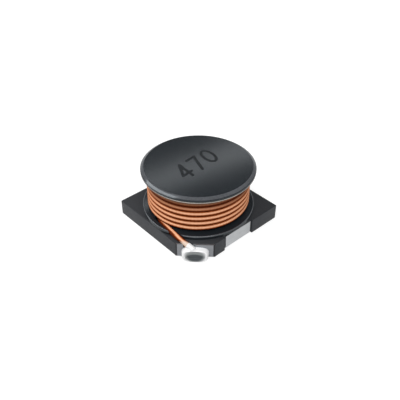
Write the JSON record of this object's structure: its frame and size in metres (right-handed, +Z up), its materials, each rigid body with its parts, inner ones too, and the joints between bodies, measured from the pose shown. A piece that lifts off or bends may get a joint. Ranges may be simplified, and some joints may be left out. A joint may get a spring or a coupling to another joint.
{
  "type": "smd power inductor",
  "caption": "Surface-mount power inductor: copper wire wound on a dark drum core that stands on a square base, with its leads soldered to terminals at two cut corners.",
  "frame": {"origin": "middle of the underside, in the plane of the terminal feet, on the axis of the post", "axes": "+Z up from the board along the post, +X and +Y along the sides of the square base, with the terminal corners at (+X, -Y) and (-X, +Y)"},
  "size_m": [0.01, 0.01, 0.0058],
  "materials": {
    "base_plastic": "moulded, dark grey",
    "ferrite": "ground and tumbled, dark grey",
    "enamelled_wire": "copper under clear enamel",
    "tinned_strip": "matte tin plate",
    "solder": "bright, dull in the dish",
    "epoxy": "cured adhesive"
  },
  "bodies": {
    "root": {"base": "base_plastic", "terminal_front": "tinned_strip", "terminal_rear": "tinned_strip", "core_adhesive": "epoxy", "drum_core": "ferrite", "winding": "enamelled_wire", "solder_front": "solder", "solder_rear": "solder"}
  },
  "joints": []
}
